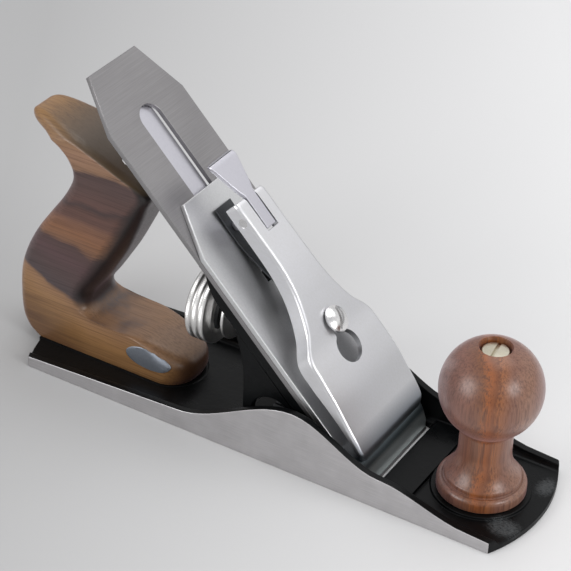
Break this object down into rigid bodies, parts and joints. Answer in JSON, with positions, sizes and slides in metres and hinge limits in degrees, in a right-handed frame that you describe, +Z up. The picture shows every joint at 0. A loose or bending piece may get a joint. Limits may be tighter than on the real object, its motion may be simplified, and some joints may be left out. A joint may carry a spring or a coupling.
{
  "type": "smoothing plane",
  "caption": "Metal bench plane with wooden tote and knob, sliding frog, depth wheel, lateral lever and cam-locked lever cap over the cutting iron.",
  "frame": {"origin": "centre of the flat sole, in the sole plane, midway along its length and width", "axes": "+X towards the toe, +Y towards the side away from the picture's camera, +Z up; the bed rises towards -X at 45 degrees"},
  "size_m": [0.246, 0.063, 0.1405],
  "materials": {
    "black_enamel": "glossy black enamel over cast iron, slightly worn",
    "ground_iron": "ground grey cast iron with fine scratches",
    "steel": "cross-ground tool steel",
    "nickel": "satin nickel plate",
    "walnut": "oiled dark walnut with brown and tan bands"
  },
  "bodies": {
    "base": {"body": "black_enamel", "frog_screw_near": "nickel", "frog_screw_far": "nickel", "frog_washer_near": "nickel", "frog_washer_far": "nickel", "tote": "walnut", "tote_rod": "nickel", "tote_nut": "nickel", "knob": "walnut", "knob_rod": "nickel", "knob_nut": "nickel"},
    "frog_unit": {"frog": "black_enamel", "depth_stud": "nickel", "yoke_pin": "nickel", "lateral_rivet": "nickel", "lever_cap_screw": "nickel"},
    "wheel": {"depth_wheel": "nickel"},
    "depth_yoke": {"yoke": "ground_iron"},
    "lateral": {"lateral_lever": "nickel", "lateral_roller": "nickel"},
    "cutter": {"iron": "steel", "cap_iron": "steel", "cap_iron_screw": "nickel"},
    "cap": {"lever_cap": "nickel", "cam_pin": "nickel", "cap_spring": "steel", "spring_rivet": "nickel"},
    "cam": {"cam_lever": "nickel"}
  },
  "joints": [
    {"name": "frog_slide", "type": "slide", "parent": "base", "child": "frog_unit", "axis": [1, 0, 0], "range_m": [-0.0015, 0.0015]},
    {"name": "wheel_spin", "type": "hinge", "parent": "frog_unit", "child": "wheel", "pos_m": [-0.035, 0, 0.0442], "axis": [1, 0, 0], "range_deg": [-240, 240]},
    {"name": "yoke_tilt", "type": "hinge", "parent": "frog_unit", "child": "depth_yoke", "pos_m": [-0.02174, 0, 0.05756], "axis": [0, 1, 0], "range_deg": [-3.6, 3.6]},
    {"name": "iron_slide", "type": "slide", "parent": "frog_unit", "child": "cutter", "axis": [0.7071, 0, -0.7071], "range_m": [-0.00082, 0.00082]},
    {"name": "lateral_swing", "type": "hinge", "parent": "frog_unit", "child": "lateral", "pos_m": [-0.02909, 0, 0.07849], "axis": [0.7071, 0, 0.7071], "range_deg": [-4, 4]},
    {"name": "cap_slide", "type": "slide", "parent": "frog_unit", "child": "cap", "axis": [-0.7071, 0, 0.7071], "range_m": [0, 0.012]},
    {"name": "cam_open", "type": "hinge", "parent": "cap", "child": "cam", "pos_m": [-0.01862, 0, 0.09376], "axis": [0, 1, 0], "range_deg": [0, 90]}
  ],
  "couplings": [
    {"joint": "wheel_spin", "follows": "iron_slide", "rad_per_m": 5108.3},
    {"joint": "yoke_tilt", "follows": "iron_slide", "rad_per_m": 76.624}
  ]
}
